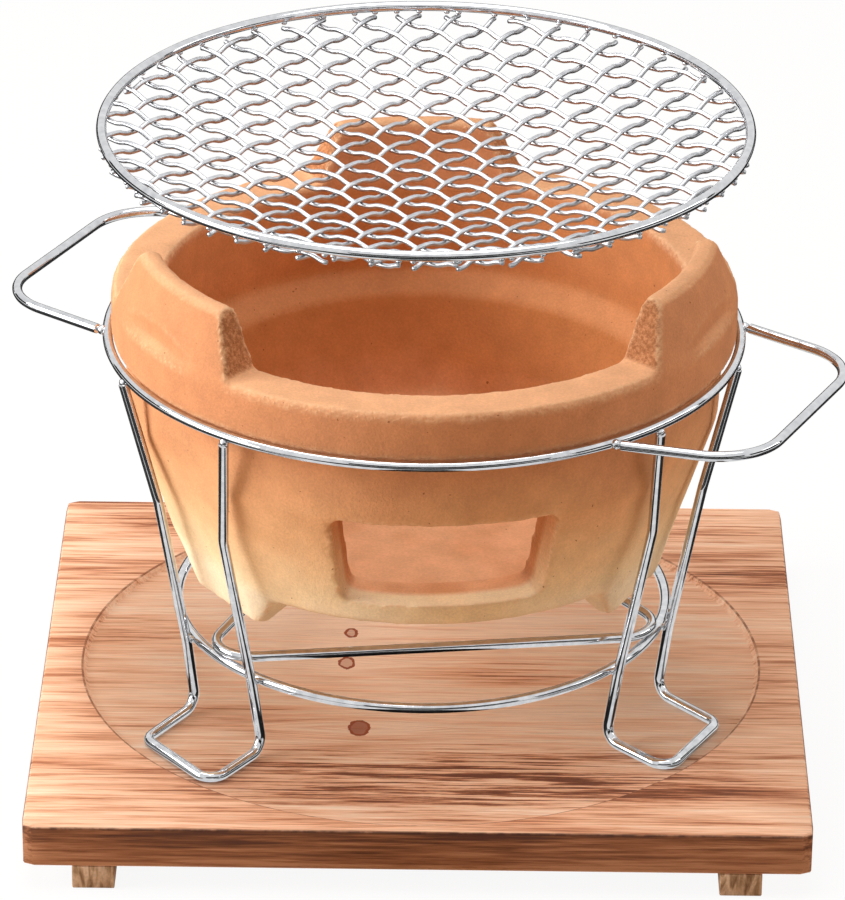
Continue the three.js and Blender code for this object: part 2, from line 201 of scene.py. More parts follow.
# The middle of the wall is a cone: 71.5 mm out at the foot and 88.7 mm out at the collar.
wall_middle = add("MapRange", {0: parts.outputs["Z"], 1: 74.5, 2: 131.0, 3: 71.5, 4: 88.7})
beyond = add("Math", {0: radius, 1: wall_middle}, operation="SUBTRACT")
outer_half = add("MapRange", {0: beyond, 1: -1.5, 2: 1.5})
underside = add("MapRange", {0: parts.outputs["Z"], 1: 76.5, 2: 78.0, 3: 1.0, 4: 0.0})
rim_top = add("MapRange", {0: parts.outputs["Z"], 1: 150.0, 2: 154.0})
outer_skin = add("Math", {0: outer_half, 1: underside}, operation="MAXIMUM")
outer_skin = add("Math", {0: outer_skin, 1: rim_top}, operation="MAXIMUM")
print("clay nodes so far:", len(clay.node_tree.nodes))

# %% [markdown]
# ### Colours from the kiln
#
# Clay keeps the colour of the heat that it got. One ramp runs up the outside and one up the
# inside, and a slow noise lets their bands drift, as kiln heat does. Faces that look up, the
# ledge inside and the tops of the rim and lugs, are painted lighter: painted light from above.

# %% Clay: colour from the kiln, and painted light on faces that look up
cloud = add("TexNoise", {"Vector": place, "Scale": 0.035, "Detail": 3.0})
drift = add("MapRange", {0: cloud, 1: 0.3, 2: 0.7, 3: -6.0, 4: 6.0})
height = add("Math", {0: parts.outputs["Z"], 1: drift}, operation="ADD")
fade = add("MapRange", {0: height, 1: 66.0, 2: 146.0})
outside = add(
    "ValToRGB",
    {0: fade},
    stops=[
        (0.08, "#fbeaca"),
        (0.18, "#f7deb4"),
        (0.32, "#f2cd9f"),
        (0.47, "#ecbb8b"),
        (0.62, "#e4ab7c"),
        (0.78, "#da9c6f"),
        (0.95, "#d7966a"),
    ],
)
inside = add(
    "ValToRGB",
    {0: fade},
    stops=[
        (0.16, "#efb88c"),
        (0.24, "#e2a274"),
        (0.36, "#d08d58"),
        (0.6, "#cb8650"),
        (0.85, "#d6935f"),
    ],
)
# Painted light: up-facing faces inside, high in the bowl and mostly on the ledge, are made lighter
# as if lit from above.
sloped = add("MapRange", {0: facing_up, 1: 0.35, 2: 0.7, 4: 0.5})
at_ledge = add("MapRange", {0: parts.outputs["Z"], 1: 110.0, 2: 113.0})
painted_ledge_light = add("Math", {0: sloped, 1: at_ledge}, operation="MULTIPLY")
inside = add("Mix", {0: painted_ledge_light, 6: inside, 7: "#e3a677"}, out=2, data_type="RGBA")
body = add("Mix", {0: outer_skin, 6: inside, 7: outside}, out=2, data_type="RGBA")
# Painted light: the up-facing tops of the rim and lugs are made lighter as if lit from above.
level = add("MapRange", {0: facing_up, 1: 0.5, 2: 0.9})
high = add("MapRange", {0: parts.outputs["Z"], 1: 150.0, 2: 153.0, 4: 0.75})
painted_top_light = add("Math", {0: level, 1: high}, operation="MULTIPLY")
body = add("Mix", {0: painted_top_light, 6: body, 7: "#f0b98c"}, out=2, data_type="RGBA")
print("clay nodes so far:", len(clay.node_tree.nodes))

# %% [markdown]
# ### Cut faces
#
# A face that was cut with a wire turns across the wall. It could be painted by hand, but the
# angle between its normal and the radius, seen from above, finds it on any bowl.

# %% Clay: cut faces, which turn across the wall
across = add("VectorMath", {0: flat, 1: normal}, operation="CROSS_PRODUCT")
across = add("SeparateXYZ", {0: across}, out="Z")
across = add("Math", {0: across, 1: radius}, operation="DIVIDE")
across = add("Math", {0: across}, operation="ABSOLUTE")
cut = add("MapRange", {0: across, 1: 0.45, 2: 0.75})
above_foot = add("MapRange", {0: parts.outputs["Z"], 1: 79.0, 2: 82.0})
cut = add("Math", {0: cut, 1: above_foot}, operation="MULTIPLY")
torn = add("TexNoise", {"Vector": place, "Scale": 0.75, "Detail": 4.0, "Roughness": 0.7})
torn_stops = [(0.4, "#a0663f"), (0.52, "#bf8055"), (0.62, "#d39a6d")]
torn_tone = add("ValToRGB", {0: torn}, stops=torn_stops)
rough_end = add("MapRange", {0: parts.outputs["Z"], 1: 120.0, 2: 150.0, 3: 0.3, 4: 0.85})
cut_share = add("Math", {0: cut, 1: rough_end}, operation="MULTIPLY")
body = add("Mix", {0: cut_share, 6: body, 7: torn_tone}, out=2, data_type="RGBA")
print("clay nodes so far:", len(clay.node_tree.nodes))

# %% [markdown]
# ### Mottle, sand and rubbed edges
#
# The colour is broken up from coarse to fine: cloudy mottle of about 9 mm, sand, edges that
# handling rubbed pale, and a few dark grains.

# %% Clay: mottle, sand, rubbed edges and dark grains
mottle = add("TexNoise", {"Vector": place, "Scale": 0.11, "Detail": 5.0})
mottle = add("MapRange", {0: mottle, 1: 0.3, 2: 0.72, 3: 0.91, 4: 1.07})
body = add("Mix", {0: 1.0, 6: body, 7: mottle}, out=2, data_type="RGBA", blend_type="MULTIPLY")
grit = add("TexNoise", {"Vector": place, "Scale": 1.3, "Detail": 3.0, "Roughness": 0.62})
sand = add("MapRange", {0: grit, 1: 0.36, 2: 0.66, 3: 0.93, 4: 1.06})
body = add("Mix", {0: 1.0, 6: body, 7: sand}, out=2, data_type="RGBA", blend_type="MULTIPLY")
worn = add("Attribute", out="Fac", attribute_name="rubbed_edge", attribute_type="GEOMETRY")
crumbs = add("MapRange", {0: torn, 1: 0.4, 2: 0.6})
crumbly = add("MapRange", {0: crumbs, 3: 0.2, 4: 0.95})
rubbed = add("Math", {0: worn, 1: crumbly}, operation="MULTIPLY")
body = add("Mix", {0: rubbed, 6: body, 7: "#f6cda2"}, out=2, data_type="RGBA")
grains = add("TexNoise", {"Vector": place, "Scale": 0.62, "Detail": 1.0})
grains = add("MapRange", {0: grains, 1: 0.77, 2: 0.80, 4: 0.8})
body = add("Mix", {0: grains, 6: body, 7: "#8f5632"}, out=2, data_type="RGBA")
print("clay nodes so far:", len(clay.node_tree.nodes))

# %% [markdown]
# ### Relief of the clay
#
# The grit is too fine for the mesh, so a bump raises it, most on cut and rubbed places. The
# crumbs at the edges are in the mesh, where they show in outline too.

# %% Clay: relief and the finished shader
coarse = add("TexNoise", {"Vector": place, "Scale": 0.45, "Detail": 4.0, "Roughness": 0.6})
relief = add("Math", {0: coarse, 1: 0.8, 2: grit}, operation="MULTIPLY_ADD")
rough_places = add("Math", {0: worn, 1: cut}, operation="MAXIMUM")
torn_relief = add("Math", {0: torn, 1: rough_places}, operation="MULTIPLY")
relief = add("Math", {0: torn_relief, 1: 3.0, 2: relief}, operation="MULTIPLY_ADD")
bump = add("Bump", {"Height": relief, "Strength": 0.45, "Distance": 0.34 * mm})
shader = add(
    "BsdfPrincipled",
    {"Base Color": body, "Roughness": 0.92, "Specular IOR Level": 0.25, "Normal": bump},
)
add("OutputMaterial", {"Surface": shader})
print("clay nodes:", len(clay.node_tree.nodes))

# %% [markdown]
# ## Scorched cedar
#
# The board is a soft straight-grained wood. Its face was passed under a flame and brushed:
# the soft wood went pale salmon and sank, and the harder late wood stayed as darker
# ridges along X. The floor of the round recess is painted lighter towards its middle, painted
# light that takes out the bowl's shade there. The flame lingered in a few places, and the sides
# stayed darker. Three knots push the grain aside.

# %% Where the knots and the scorched places are
# A knot is x, y and size, and a scorched place is x, y, length, width and strength, in mm.
knots = [(-22.9, 21.2, 2.0), (-23.8, 0.3, 2.6), (-19.1, -43.4, 3.4)]
scorches = [
    (12, -76, 105, 30, 1.35),
    (105, 62, 40, 11, 0.55),
    (34, -6, 44, 14, 0.7),
    (-84, 24, 34, 16, 0.5),
    (-70, 96, 60, 12, 0.5),
    (-60, -40, 50, 16, 0.45),
    (70, 96, 50, 9, 0.5),
]
print("knots:", len(knots), "- scorched places:", len(scorches))

# %% [markdown]
# ### Grain round the knots
#
# Wood grows round its branches. The pattern is pushed sideways near each knot, and the knot
# is an oval with a frayed outline, so no image of wood is needed.

# %% Cedar: grain that bends round the knots
cedar, add, place = blank_material("scorched_brushed_cedar")
parts = add("SeparateXYZ", {0: place}, out=None)
bent, knot = place, 0.0
for x, y, size in knots:
    away = add("VectorMath", {0: place, 1: (x, y, 19.5)}, operation="SUBTRACT")
    near = add("Mapping", {"Vector": away, "Scale": (0.45, 1.0, 0.0)})
    distance = add("VectorMath", {0: near}, out=1, operation="LENGTH")
    fall = add("MapRange", {0: distance, 1: size * 0.4, 2: size * 4.2, 3: 1.0, 4: 0.0})
    side = add("SeparateXYZ", {0: away}, out="Y")
    side = add("Math", {0: side}, operation="SIGN")
    push = add("Math", {0: side, 1: size * -0.9}, operation="MULTIPLY")
    push = add("Math", {0: push, 1: fall}, operation="MULTIPLY")
    bent = add("VectorMath", {0: bent, 1: add("CombineXYZ", {"Y": push})}, operation="ADD")
    disc = add("Mapping", {"Vector": away, "Scale": (1.05, 0.68, 0.0)})
    disc = add("VectorMath", {0: disc}, out=1, operation="LENGTH")
    frayed = add("TexNoise", {"Vector": place, "Scale": 0.5, "Detail": 2.0})
    disc = add("Math", {0: frayed, 1: 1.6, 2: disc}, operation="MULTIPLY_ADD")
    heart = 0.85 if size > 3 else 0.4
    mark = add("MapRange", {0: disc, 1: size * 0.9 + 0.6, 2: size * 1.1 + 0.8, 3: heart, 4: 0.0})
    bark = add("Math", {0: disc, 1: size * 0.95 + 0.75, 2: 0.45}, operation="COMPARE")
    mark = add("Math", {0: mark, 1: bark}, operation="MAXIMUM")
    knot = add("Math", {0: mark, 1: knot}, operation="MAXIMUM")
print("cedar nodes so far:", len(cedar.node_tree.nodes))

# %% [markdown]
# ### Streaks
#
# Noise that is stretched along X reads as grain. Three widths are mixed to one value, which
# the colours and the relief below both use.

# %% Cedar: streaks of three widths, 20 mm, 3 mm and 1 mm
streaks = []
for lengthwise, crosswise, detail in ((0.006, 0.05, 2.0), (0.014, 0.3, 3.0), (0.03, 0.95, 5.0)):
    stretch = add("Mapping", {"Vector": bent, "Scale": (lengthwise, crosswise, crosswise)})
    settings = {"Vector": stretch, "Scale": 1.0, "Detail": detail, "Roughness": 0.65}
    streaks.append(add("TexNoise", {**settings, "Distortion": 0.25}))
broad, middling, thin = streaks
grain = add("Math", {0: broad, 1: 0.26}, operation="MULTIPLY")
grain = add("Math", {0: middling, 1: 0.35, 2: grain}, operation="MULTIPLY_ADD")
grain = add("Math", {0: thin, 1: 0.39, 2: grain}, operation="MULTIPLY_ADD")
print("cedar nodes so far:", len(cedar.node_tree.nodes))

# %% [markdown]
# ### Scorched places
#
# The flame stayed longer in some places. There a fine charred grain is taken off the grain
# value, so the wood darkens in streaks and not in flat stains.

# %% Cedar: places where the flame lingered
lingered = add("Mapping", {"Vector": place, "Scale": (0.012, 0.045, 0.0)})
lingered = add("TexNoise", {"Vector": lingered, "Scale": 1.0, "Detail": 2.0})
lingered = add("MapRange", {0: lingered, 1: 0.5, 2: 0.7, 4: 0.35})
for x, y, length, width, strength in scorches:
    away = add("VectorMath", {0: place, 1: (x, y, 20.5)}, operation="SUBTRACT")
    near = add("Mapping", {"Vector": away, "Scale": (1 / length, 1 / width, 0.0)})
    distance = add("VectorMath", {0: near}, out=1, operation="LENGTH")
    patch = add("MapRange", {0: distance, 1: 0.35, 2: 1.1, 3: strength, 4: 0.0})
    lingered = add("Math", {0: patch, 1: lingered}, operation="MAXIMUM")
charred_grain = add("Mapping", {"Vector": bent, "Scale": (0.028, 0.75, 0.75)})
charred_grain = add(
    "TexNoise", {"Vector": charred_grain, "Scale": 1.0, "Detail": 6.0, "Roughness": 0.7}
)
charred_grain = add("MapRange", {0: charred_grain, 1: 0.44, 2: 0.60, 3: 0.05, 4: 0.235})
darker = add("Math", {0: charred_grain, 1: lingered}, operation="MULTIPLY")
grain = add("Math", {0: grain, 1: darker}, operation="SUBTRACT")
print("cedar nodes so far:", len(cedar.node_tree.nodes))

# %% [markdown]
# ### The face
#
# Painted light: the recess floor is made lighter, most towards the middle, to take out the shade
# that the bowl casts there. One ramp gives the grain its colours, and fine brush marks of about
# 0.5 mm break them up.

# %% Cedar: painted light in the recess, and the colour of the face
level = add("CombineXYZ", {"X": parts.outputs["X"], "Y": parts.outputs["Y"]})
reach = add("VectorMath", {0: level}, out=1, operation="LENGTH")
# Painted light: inside the recess the grain value is raised, most near the middle, so the floor
# under the bowl shows no shade.
turned = add("MapRange", {0: reach, 1: 55.0, 2: 108.5, 3: 0.12, 4: 0.042})
turned_in = add("Math", {0: reach, 1: 108.6}, operation="LESS_THAN")
grain = add("Math", {0: turned, 1: turned_in, 2: grain}, operation="MULTIPLY_ADD")
face = add(
    "ValToRGB",
    {0: grain},
    stops=[
        (0.33, "#6f3b22"),
        (0.39, "#a4633f"),
        (0.445, "#d79b77"),
        (0.495, "#f1be9c"),
        (0.55, "#f8ccac"),
        (0.63, "#ffe2ca"),
    ],
)

brushed = add("Mapping", {"Vector": bent, "Scale": (0.045, 1.9, 1.9)})
brushed = add("TexNoise", {"Vector": brushed, "Scale": 1.0, "Detail": 4.0, "Roughness": 0.65})
brushed = add("MapRange", {0: brushed, 1: 0.36, 2: 0.62, 3: 0.86, 4: 1.07})
face = add("Mix", {0: 1.0, 6: face, 7: brushed}, out=2, data_type="RGBA", blend_type="MULTIPLY")
print("cedar nodes so far:", len(cedar.node_tree.nodes))

# %% [markdown]
# ### Sides and edges
#
# The sides stayed darker. Thin broken dark lines are painted shade: along the plank's rounded
# top edges and on the lip of the step round the recess.

# %% Cedar: the sides, and painted shade along the edges and round the recess
normal = add("NewGeometry", out="Normal")
steep = add("SeparateXYZ", {0: normal}, out="Z")
steep = add("Math", {0: steep}, operation="ABSOLUTE")
steep = add("MapRange", {0: steep, 1: 0.35, 2: 0.75, 3: 1.0, 4: 0.0})
outer = add("Math", {0: reach, 1: 110.0}, operation="GREATER_THAN")
upright = add("Math", {0: steep, 1: outer}, operation="MULTIPLY")
under_edge = add("MapRange", {0: parts.outputs["Z"], 1: 11.0, 2: 20.0, 3: 0.03, 4: -0.06})
side_grain = add("Math", {0: grain, 1: under_edge}, operation="ADD")
sides = add(
    "ValToRGB",
    {0: side_grain},
    stops=[(0.38, "#5a2f1a"), (0.44, "#84502f"), (0.49, "#a46a47"), (0.56, "#c58e6a")],
)
face = add("Mix", {0: upright, 6: face, 7: sides}, out=2, data_type="RGBA")
broken = add("TexNoise", {"Vector": place, "Scale": 0.28, "Detail": 3.0})
broken = add("MapRange", {0: broken, 1: 0.38, 2: 0.56, 3: 0.3, 4: 0.85})
near_top = add("MapRange", {0: parts.outputs["Z"], 1: 20.0, 2: 20.7})
# Painted shade: broken dark lines on the lip round the recess and on the plank's rounded top
# edges; the knot's own dark colour is added with them.
shade_lines_and_knot = [add("Math", {0: reach, 1: 108.9, 2: 0.35}, operation="COMPARE")]
for axis, edge in (("X", 120.7), ("Y", 112.2)):
    far = add("Math", {0: parts.outputs[axis]}, operation="ABSOLUTE")
    line = add("MapRange", {0: far, 1: edge - 0.2, 2: edge + 0.15})
    shade_lines_and_knot.append(add("Math", {0: line, 1: near_top}, operation="MULTIPLY"))
shade_lines_and_knot.append(knot)
for line, code in zip(shade_lines_and_knot, ("#8a5638", "#5b2f1a", "#3f2012", "#9c4c2a")):
    share = add("Math", {0: line, 1: broken}, operation="MULTIPLY") if line is not knot else line
    face = add("Mix", {0: share, 6: face, 7: code}, out=2, data_type="RGBA")
print("cedar nodes so far:", len(cedar.node_tree.nodes))

# %% [markdown]
# ### Relief of the wood
#
# Brushing wears the soft wood away, so the same streaks also raise and lower the surface.

# %% Cedar: brushed relief and the finished shader
relief = add("Math", {0: thin, 1: 1.0, 2: middling}, operation="MULTIPLY_ADD")
bump = add("Bump", {"Height": relief, "Strength": 0.6, "Distance": 0.9 * mm})
shader = add(
    "BsdfPrincipled",
    {"Base Color": face, "Roughness": 0.62, "Specular IOR Level": 0.35, "Normal": bump},
)
add("OutputMaterial", {"Surface": shader})
print("cedar nodes:", len(cedar.node_tree.nodes))

# %% [markdown]
# ## Plain batten wood
#
# The two battens are sawn from plain pale pine and were never scorched. The cut ends show
# slanted year rings about 2 mm apart, and the long sides show fine straight grain.

# %% Batten wood
pine, add, place = blank_material("plain_sawn_pine")
slant = {"Vector": place, "Rotation": (0.0, math.radians(38), 0.0), "Scale": (0.5, 0.01, 0.12)}
year = add(
    "TexNoise", {"Vector": add("Mapping", slant), "Scale": 1.0, "Detail": 3.0, "Distortion": 0.6}
)
pores = add("Mapping", {"Vector": place, "Scale": (0.55, 0.012, 0.42)})
pores = add("TexNoise", {"Vector": pores, "Scale": 2.2, "Detail": 4.0, "Roughness": 0.65})
tone = add(
    "ValToRGB",
    {0: year},
    stops=[(0.34, "#85603f"), (0.46, "#b59270"), (0.55, "#d6b596"), (0.68, "#e4c9ae")],
)
shade = add("MapRange", {0: pores, 1: 0.35, 2: 0.65, 3: 0.82, 4: 1.06})
tone = add("Mix", {0: 1.0, 6: tone, 7: shade}, out=2, data_type="RGBA", blend_type="MULTIPLY")
bump = add("Bump", {"Height": pores, "Strength": 0.35, "Distance": 0.25 * mm})
add(
    "OutputMaterial",
    {"Surface": add("BsdfPrincipled", {"Base Color": tone, "Roughness": 0.8, "Normal": bump})},
)
print("pine nodes:", len(pine.node_tree.nodes))

# %% [markdown]
# ## Turning a bmesh into a piece
#
# Each piece is shaped in a bmesh, moved to its place while it is still a mesh, and then
# rides on the body that carries it in the CAD frame. Its object stays at the origin.


# %% Piece helper
def piece(name, shape, material, body, replaces=(), smooth=40):
    """Makes a finished piece from a bmesh and puts it on the body that carries it."""
    mesh = bpy.data.meshes.new(name)
    shape.normal_update()
    shape.to_mesh(mesh)
    shape.free()
    mesh.materials.append(material)
    made = bpy.data.objects.new(name, mesh)
    bpy.context.scene.collection.objects.link(made)
    mesh.shade_smooth()
    if smooth < 180:
        mesh.set_sharp_from_angle(angle=math.radians(smooth))
    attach(made, body)
    if replaces:
        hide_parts(*replaces)
    mesh.calc_loop_triangles()
    print(name, "has", len(mesh.loop_triangles), "triangles")
    return made


def in_place(shape, matrix):
    """Moves a whole bmesh, given in mm, to its place in metres."""
    bmesh.ops.transform(shape, matrix=matrix @ Matrix.Scale(mm, 4), verts=shape.verts)

# %% [markdown]
# ## Bent wires
#
# Every wire of the stand is 3.2 mm round wire, bent on pins: straight runs with small round
# bends. A path is a list of corners, and each inner corner becomes an arc.


# %% Bent paths
def bent_line(corners, radii, steps=10):
    """A line through corners, with an arc of the given radius at each inner one."""
    points = [corners[0]]
    for i in range(1, len(corners) - 1):
        corner = corners[i]
        before = (corners[i - 1] - corner).normalized()
        after = (corners[i + 1] - corner).normalized()
        half = before.angle(after) / 2
        radius = radii[i - 1]
        inward = (before + after).normalized()
        centre = corner + inward * (radius / math.sin(half))
        start = corner + before * (radius / math.tan(half)) - centre
        axis = before.cross(after).normalized()
        sweep = 2 * half - math.pi
        for step in range(steps + 1):
            points.append(centre + Matrix.Rotation(sweep * step / steps, 3, axis) @ start)
    points.append(corners[-1])
    return points


def along(points, i):
    """The direction of a line at one of its points."""
    first, last = points[max(i - 1, 0)], points[min(i + 1, len(points) - 1)]
    return (last - first).normalized()


def chord_reach(radius, half_width):
    """How far the middle of a chord is from the middle of its circle."""
    return math.sqrt(radius**2 - half_width**2)

# %% [markdown]
# ### Round wire
#
# A curve with a round bevel could be used, but it ends flat, and these ends are slightly
# domed. So a round section is extruded from point to point, and turned each time by just
# the bend between two steps, which keeps it from twisting.


# %% Round wire
def extruded(shape, ring):
    """Extrudes a ring of edges and returns the new points and edges."""
    grown = bmesh.ops.extrude_edge_only(shape, edges=ring)["geom"]
    verts = [g for g in grown if isinstance(g, bmesh.types.BMVert)]
    fresh = set(verts)
    edges = [g for g in grown if isinstance(g, bmesh.types.BMEdge)]
    return verts, [e for e in edges if all(v in fresh for v in e.verts)]


def wire(points, radius, sides=14, dome=0.35, lid_share=0.55):
    """A round wire along a line of points, with slightly domed ends."""
    shape = bmesh.new()
    heading = along(points, 0)
    start = Matrix.Translation(points[0]) @ heading.to_track_quat("Z", "Y").to_matrix().to_4x4()
    bmesh.ops.create_circle(shape, segments=sides, radius=radius, matrix=start)
    ring = list(shape.edges)
    first = ring
    for i in range(1, len(points)):
        verts, ring = extruded(shape, ring)
        turn = heading.rotation_difference(along(points, i)).to_matrix().to_4x4()
        step = Matrix.Translation(points[i]) @ turn @ Matrix.Translation(-points[i - 1])
        bmesh.ops.transform(shape, matrix=step, verts=verts)
        heading = along(points, i)
    narrower = (lid_share, lid_share, lid_share)
    for end, place, out in ((first, points[0], -along(points, 0)), (ring, points[-1], heading)):
        verts, lid = extruded(shape, end)
        bmesh.ops.scale(shape, vec=narrower, space=Matrix.Translation(-place), verts=verts)
        bmesh.ops.translate(shape, vec=out * radius * dome, verts=verts)
        bmesh.ops.contextual_create(shape, geom=lid)
    bmesh.ops.recalc_face_normals(shape, faces=shape.faces)
    return shape

# %% [markdown]
# ### Spinning a hoop
#
# A hoop is the same round section, spun once round the axis. The last step lands on the
# first, so the doubles are merged there. The bowl below is spun in the same way.


# %% Spun shapes and hoops
def spun_round(shape, geom, steps):
    """Spins points and edges once round the axis and closes the seam."""
    bmesh.ops.spin(
        shape,
        geom=geom,
        cent=(0, 0, 0),
        axis=(0, 0, 1),
        angle=2 * math.pi,
        steps=steps,
        use_merge=True,
    )
    bmesh.ops.remove_doubles(shape, verts=shape.verts, dist=0.001)
    bmesh.ops.recalc_face_normals(shape, faces=shape.faces)
    return shape


def hoop(radius, wire_radius, height, steps=240, sides=14):
    """A closed ring of round wire: a circle spun once about the axis."""
    shape = bmesh.new()
    start = Matrix.Translation((radius, 0, height)) @ Matrix.Rotation(math.pi / 2, 4, "X")
    bmesh.ops.create_circle(shape, segments=sides, radius=wire_radius, matrix=start)
    return spun_round(shape, list(shape.verts) + list(shape.edges), steps)

# %% [markdown]
# ## The wire stand
#
# Two hoops, three hairpin legs, a triangular brace and two handles. The bowl's collar rests
# in the top hoop, and each leg is one wire: down, out round the foot, and up again.

# %% Sizes of the stand
wire_radius = 1.6
fit_gap = 0.3
top_height, top_radius = 117.0, 99.1
low_height, low_radius = 24.0, 78.0
print("hoops:", 2 * top_radius, "and", 2 * low_radius, "mm across")

# %% [markdown]
# ### Hoops
#
# The top hoop carries the bowl and the lower one ties the legs. Both are wire rolled to a
# circle and butt welded, so a spun section fits them best.

# %% Hoops
for name, radius, height in (
    ("stand_top_ring", top_radius, top_height),
    ("stand_lower_ring", low_radius, low_height),
):
    shape = hoop(radius, wire_radius, height)
    in_place(shape, on_board)
    piece(name + "_round", shape, chrome, "stand", [name])

# %% [markdown]
# ### Legs
#
# A leg is a hairpin: two uprights with a knee, and a foot loop between them that stands on the
# floor of the recess. It is drawn as one path, so its bends are as smooth as bent wire. The
# front legs' toes are set a little towards the front.

# %% Legs
leg_azimuths = {"leg_front_left": -57, "leg_front_right": 57, "leg_rear": 180}
toe_skews = {"leg_front_left": 9, "leg_front_right": -9, "leg_rear": 0}
top_spread, top_outset = 26.5, 0.6
knee_height, knee_reach, knee_spread = 76.0, 90.0, 17.4
ankle_reach, ankle_spread = 76.0, 18.0
toe_reach, toe_spread = 102.0, 17.5
knee_bend, foot_bend = 14, 5
recess_depth = 2.0


def leg_line(azimuth, skew):
    """The middle line of a leg's wire, from one top end to the other."""
    top_reach = chord_reach(top_radius + top_outset, top_spread)
    hip_reach = chord_reach(low_radius + 2 * wire_radius + fit_gap, knee_spread)
    foot_height = wire_radius + fit_gap - recess_depth
    top_end = top_height - 1.5 * wire_radius - fit_gap
    corners = []
    for side in (1, -1):
        upright = [
            placed(azimuth, top_reach, side * top_spread, top_end),
            placed(azimuth, knee_reach, side * knee_spread, knee_height),
            placed(azimuth, hip_reach, side * knee_spread, low_height),
            placed(azimuth, ankle_reach, side * ankle_spread, foot_height),
            placed(azimuth, toe_reach, side * toe_spread + skew, foot_height),
        ]
        corners += upright if side == 1 else upright[::-1]
    bends = [knee_bend, knee_bend, foot_bend, foot_bend]
    return bent_line(corners, bends + bends[::-1])


for name, azimuth_of_leg in leg_azimuths.items():
    shape = wire(leg_line(azimuth_of_leg, toe_skews[name]), wire_radius)
    in_place(shape, on_board)
    piece(name + "_round", shape, chrome, "stand", [name])

# %% [markdown]
# ### Handles
#
# Each handle is a loop with two large bends, welded to the outside of the top hoop.

# %% Handles
handle_azimuths = {"handle_right": 59, "handle_left": 239}
root_spread, grip_spread, handle_reach, handle_bend = 47.8, 39.5, 131.0, 21


def handle_line(azimuth):
    """The middle line of a handle's wire."""
    root_reach = chord_reach(top_radius + 2 * wire_radius, root_spread)
    side = [(root_reach, root_spread), (handle_reach, grip_spread)]
    both = side + [(reach, -spread_of) for reach, spread_of in reversed(side)]
    corners = [placed(azimuth, reach, spread_of, top_height) for reach, spread_of in both]
    return bent_line(corners, [handle_bend, handle_bend], steps=18)


for name, azimuth_of_handle in handle_azimuths.items():
    shape = wire(handle_line(azimuth_of_handle), wire_radius)
    in_place(shape, on_board)
    piece(name + "_round", shape, chrome, "stand", [name])

# %% [markdown]
# ### Brace
#
# The brace is a triangle of wire on top of the lower hoop. In a corner of 60 degrees the
# sharp point lies one bend radius past the bend. The seam is in the middle of one side.

# %% Brace
brace_height = low_height + 2 * wire_radius + fit_gap
brace_corner_reach, brace_bend, brace_turn = 78.0, 11.0, 3
sharp_reach = brace_corner_reach + brace_bend
sharp = [placed(a + brace_turn, sharp_reach, 0, brace_height) for a in (-60, 60, 180)]
seam = (sharp[0] + sharp[2]) / 2
run = (sharp[2] - sharp[0]).normalized()
corners = [seam - run * fit_gap / 2, *sharp, seam + run * fit_gap / 2]
shape = wire(bent_line(corners, [brace_bend] * 3), wire_radius)
in_place(shape, on_board)
piece("stand_brace_round", shape, chrome, "stand", ["stand_brace"])

# %% [markdown]
# ## Welds of the stand
#
# Where two wires meet they were spot welded and plated over, which leaves a small smooth
# nugget. Each nugget is a little ball that fills the gap between the two wires.


# %% Welds
leg_weld, hip_weld, handle_weld = 1.55, 1.15, 1.6
weld_inset, weld_drop = 0.2, 2.1


def nugget(shape, place, size, flat=(1.0, 1.0, 1.0)):
    """Adds a ball of weld metal to a bmesh, squashed if flat says so."""
    matrix = Matrix.Translation(place) @ Matrix.Diagonal((*flat, 1.0))
    bmesh.ops.create_icosphere(shape, subdivisions=3, radius=size, matrix=matrix)


welds = bmesh.new()
for azimuth_of_leg in leg_azimuths.values():
    for side in (1, -1):
        top = chord_reach(top_radius + top_outset, top_spread) - weld_inset
        under_ring = placed(azimuth_of_leg, top, side * top_spread, top_height - weld_drop)
        nugget(welds, under_ring, leg_weld)
        hip = chord_reach(low_radius + wire_radius + fit_gap / 2, knee_spread)
        nugget(welds, placed(azimuth_of_leg, hip, side * knee_spread, low_height), hip_weld)
for azimuth_of_handle in handle_azimuths.values():
    for side in (1, -1):
        root = chord_reach(top_radius + wire_radius, root_spread)
        nugget(welds, placed(azimuth_of_handle, root, side * root_spread, top_height), handle_weld)
in_place(welds, on_board)
piece("stand_welds", welds, weld_chrome, "stand", smooth=180)

# %% [markdown]
# ## The net
#
# The net is woven from two sets of 1.4 mm wires. Each wire was crimped into a wave first,
# so it passes over one crossing and under the next, and the two sets lock. The net is
# pressed to a shallow dish and spot welded under a thicker rim. The two sets are half a wave
# apart, as in the solids. The wires are drawn a little thicker than the solids and the waves
# a little lower, which brings them nearer to the picture.

# %% Sizes of the net
rim_height, rim_radius, rim_wire = 186.0, 100.0, 1.6
net_radius, net_crimp = 0.7, 0.86
shown_radius, shown_crimp = 0.78, 0.74
sag, end_past_rim, pitches_across, shortest_half = 7.8, 0.5, 19.5, 15.0
end_radius = rim_radius + end_past_rim
pitch = 2 * end_radius / pitches_across
plane_height = rim_height - rim_wire - fit_gap - net_radius - net_crimp
sets = [
    {"name": "warp", "turn": 47, "shift": -0.035, "across": -0.23, "over": 0},
    {"name": "weft", "turn": 137, "shift": 0.23, "across": -0.035, "over": 1},
]
print("net wires are", round(pitch, 2), "mm apart")

# %% [markdown]
# ### One crimped wire
#
# The wave of a crimped wire is squarer than a sine: level crowns, and steep runs between
# them. Each wire also wanders a little and ends a little unevenly, as woven wire does. Its
# last millimetre is pressed flatter.

# %% One crimped wire
crown_squareness, points_per_pitch = 1.7, 8
sway_width, sway_length = 0.12, 31
end_lift = 0.75


def wires_of(kind):
    """The number and the offset of each wire that is long enough to be in the net."""
    offsets = [(index, (index + kind["shift"]) * pitch) for index in range(-10, 11)]
    widest = chord_reach(end_radius, shortest_half)
    return [(index, offset) for index, offset in offsets if abs(offset) <= widest]


def dish(x, y):
    """Height of the net's middle surface, a shallow dish."""
    return plane_height - sag * (1 - (math.hypot(x, y) / end_radius) ** 2)


